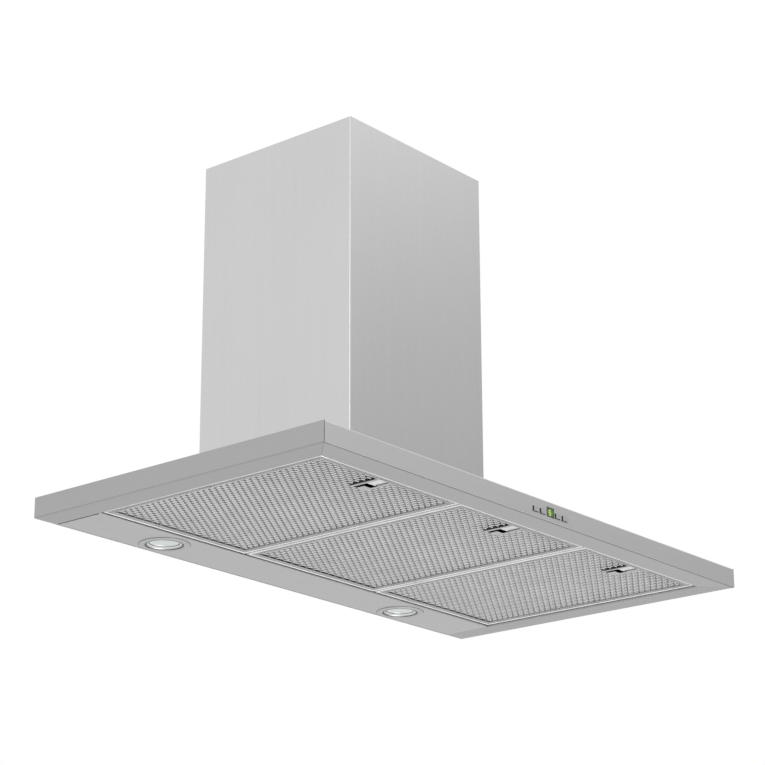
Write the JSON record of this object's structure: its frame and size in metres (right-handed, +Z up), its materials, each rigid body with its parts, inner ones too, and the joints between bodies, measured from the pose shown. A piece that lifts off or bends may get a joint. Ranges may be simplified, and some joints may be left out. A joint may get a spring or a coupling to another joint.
{
  "type": "range hood",
  "caption": "Wall-mounted chimney range hood: thin box canopy, mesh filters and lamps beneath, push-button front panel, blower and telescopic flue.",
  "frame": {"origin": "middle of the canopy's underside: centre of its width and depth, at the height of the rims' underside", "axes": "+X to the right seen from the front, +Y from the front towards the wall, +Z up along the flue"},
  "size_m": [0.9, 0.5016, 0.601],
  "materials": {
    "brushed_steel": "brushed, satin",
    "filter_aluminium": "bright, rolled",
    "latch_steel": "polished",
    "spring_steel": "drawn, oiled",
    "button_steel": "satin",
    "display_glass": "clear over a green display",
    "black_plastic": "moulded, matt",
    "circuit_board": "solder mask",
    "lamp_trim": "satin chrome",
    "lamp_glass": "frosted",
    "galvanised_steel": "zinc coated, faintly spangled",
    "bulb_ceramic": "glazed ceramic and frosted glass",
    "white_plastic": "moulded",
    "lead_rubber": "smooth",
    "motor_paint": "cast and painted"
  },
  "bodies": {
    "canopy": {"canopy_shell": "brushed_steel", "left_side_panel": "brushed_steel", "right_side_panel": "brushed_steel", "front_rim": "brushed_steel", "lamp_panel": "brushed_steel", "lower_flue": "brushed_steel", "display_window": "display_glass", "display_module": "black_plastic", "control_housing": "black_plastic", "scroll_left_half": "black_plastic", "scroll_right_half": "black_plastic", "outlet_collar": "black_plastic", "cable_gland": "black_plastic", "tact_switches": "black_plastic", "control_board": "circuit_board", "left_lamp_bezel": "lamp_trim", "left_lamp_glass": "lamp_glass", "left_lamp_can": "galvanised_steel", "left_lamp_bulb": "bulb_ceramic", "right_lamp_bezel": "lamp_trim", "right_lamp_glass": "lamp_glass", "right_lamp_can": "galvanised_steel", "right_lamp_bulb": "bulb_ceramic", "lamp_driver": "white_plastic", "junction_box": "white_plastic", "junction_box_lid": "white_plastic", "lamp_leads": "lead_rubber", "blower_leads": "lead_rubber", "blower_box": "galvanised_steel", "motor_bracket": "galvanised_steel", "wall_frame": "galvanised_steel", "motor": "motor_paint", "damper_pins": "spring_steel", "blower_screws": "spring_steel", "flue_screws": "spring_steel"},
    "left_filter": {"left_filter_frame": "filter_aluminium", "left_filter_mesh": "filter_aluminium", "left_latch_tray": "latch_steel", "left_latch_spring": "spring_steel"},
    "left_latch": {"left_latch_slide": "latch_steel"},
    "middle_filter": {"middle_filter_frame": "filter_aluminium", "middle_filter_mesh": "filter_aluminium", "middle_latch_tray": "latch_steel", "middle_latch_spring": "spring_steel"},
    "middle_latch": {"middle_latch_slide": "latch_steel"},
    "right_filter": {"right_filter_frame": "filter_aluminium", "right_filter_mesh": "filter_aluminium", "right_latch_tray": "latch_steel", "right_latch_spring": "spring_steel"},
    "right_latch": {"right_latch_slide": "latch_steel"},
    "button_1": {"button_1": "button_steel"},
    "button_2": {"button_2": "button_steel"},
    "button_3": {"button_3": "button_steel"},
    "button_4": {"button_4": "button_steel"},
    "upper_flue": {"upper_flue": "brushed_steel", "flue_bracket": "galvanised_steel"},
    "impeller": {"impeller": "black_plastic", "motor_shaft": "spring_steel"},
    "front_damper": {"front_damper_flap": "black_plastic"},
    "rear_damper": {"rear_damper_flap": "black_plastic"}
  },
  "joints": [
    {"name": "left_filter_hinge", "type": "hinge", "parent": "canopy", "child": "left_filter", "pos_m": [-0.2736, 0.1694, 0.003], "axis": [1, 0, 0], "range_deg": [0, 60]},
    {"name": "left_latch_pull", "type": "slide", "parent": "left_filter", "child": "left_latch", "axis": [0, 1, 0], "range_m": [0, 0.006], "stiffness_N_per_m": 400, "springref_m": -0.01, "deforming": ["left_latch_spring"]},
    {"name": "middle_filter_hinge", "type": "hinge", "parent": "canopy", "child": "middle_filter", "pos_m": [0, 0.1694, 0.003], "axis": [1, 0, 0], "range_deg": [0, 60]},
    {"name": "middle_latch_pull", "type": "slide", "parent": "middle_filter", "child": "middle_latch", "axis": [0, 1, 0], "range_m": [0, 0.006], "stiffness_N_per_m": 400, "springref_m": -0.01, "deforming": ["middle_latch_spring"]},
    {"name": "right_filter_hinge", "type": "hinge", "parent": "canopy", "child": "right_filter", "pos_m": [0.2736, 0.1694, 0.003], "axis": [1, 0, 0], "range_deg": [0, 60]},
    {"name": "right_latch_pull", "type": "slide", "parent": "right_filter", "child": "right_latch", "axis": [0, 1, 0], "range_m": [0, 0.006], "stiffness_N_per_m": 400, "springref_m": -0.01, "deforming": ["right_latch_spring"]},
    {"name": "button_1_press", "type": "slide", "parent": "canopy", "child": "button_1", "axis": [0, 1, 0], "range_m": [0, 0.0012], "stiffness_N_per_m": 800, "springref_m": -0.002},
    {"name": "button_2_press", "type": "slide", "parent": "canopy", "child": "button_2", "axis": [0, 1, 0], "range_m": [0, 0.0012], "stiffness_N_per_m": 800, "springref_m": -0.002},
    {"name": "button_3_press", "type": "slide", "parent": "canopy", "child": "button_3", "axis": [0, 1, 0], "range_m": [0, 0.0012], "stiffness_N_per_m": 800, "springref_m": -0.002},
    {"name": "button_4_press", "type": "slide", "parent": "canopy", "child": "button_4", "axis": [0, 1, 0], "range_m": [0, 0.0012], "stiffness_N_per_m": 800, "springref_m": -0.002},
    {"name": "upper_flue_slide", "type": "slide", "parent": "canopy", "child": "upper_flue", "axis": [0, 0, 1], "range_m": [0, 0.38]},
    {"name": "impeller_spin", "type": "hinge", "parent": "canopy", "child": "impeller", "pos_m": [0, 0.088, 0.15], "axis": [1, 0, 0], "continuous": true},
    {"name": "front_damper_hinge", "type": "hinge", "parent": "canopy", "child": "front_damper", "pos_m": [0, 0.106, 0.309], "axis": [-1, 0, 0], "range_deg": [0, 80]},
    {"name": "rear_damper_hinge", "type": "hinge", "parent": "canopy", "child": "rear_damper", "pos_m": [0, 0.114, 0.309], "axis": [1, 0, 0], "range_deg": [0, 80]}
  ]
}
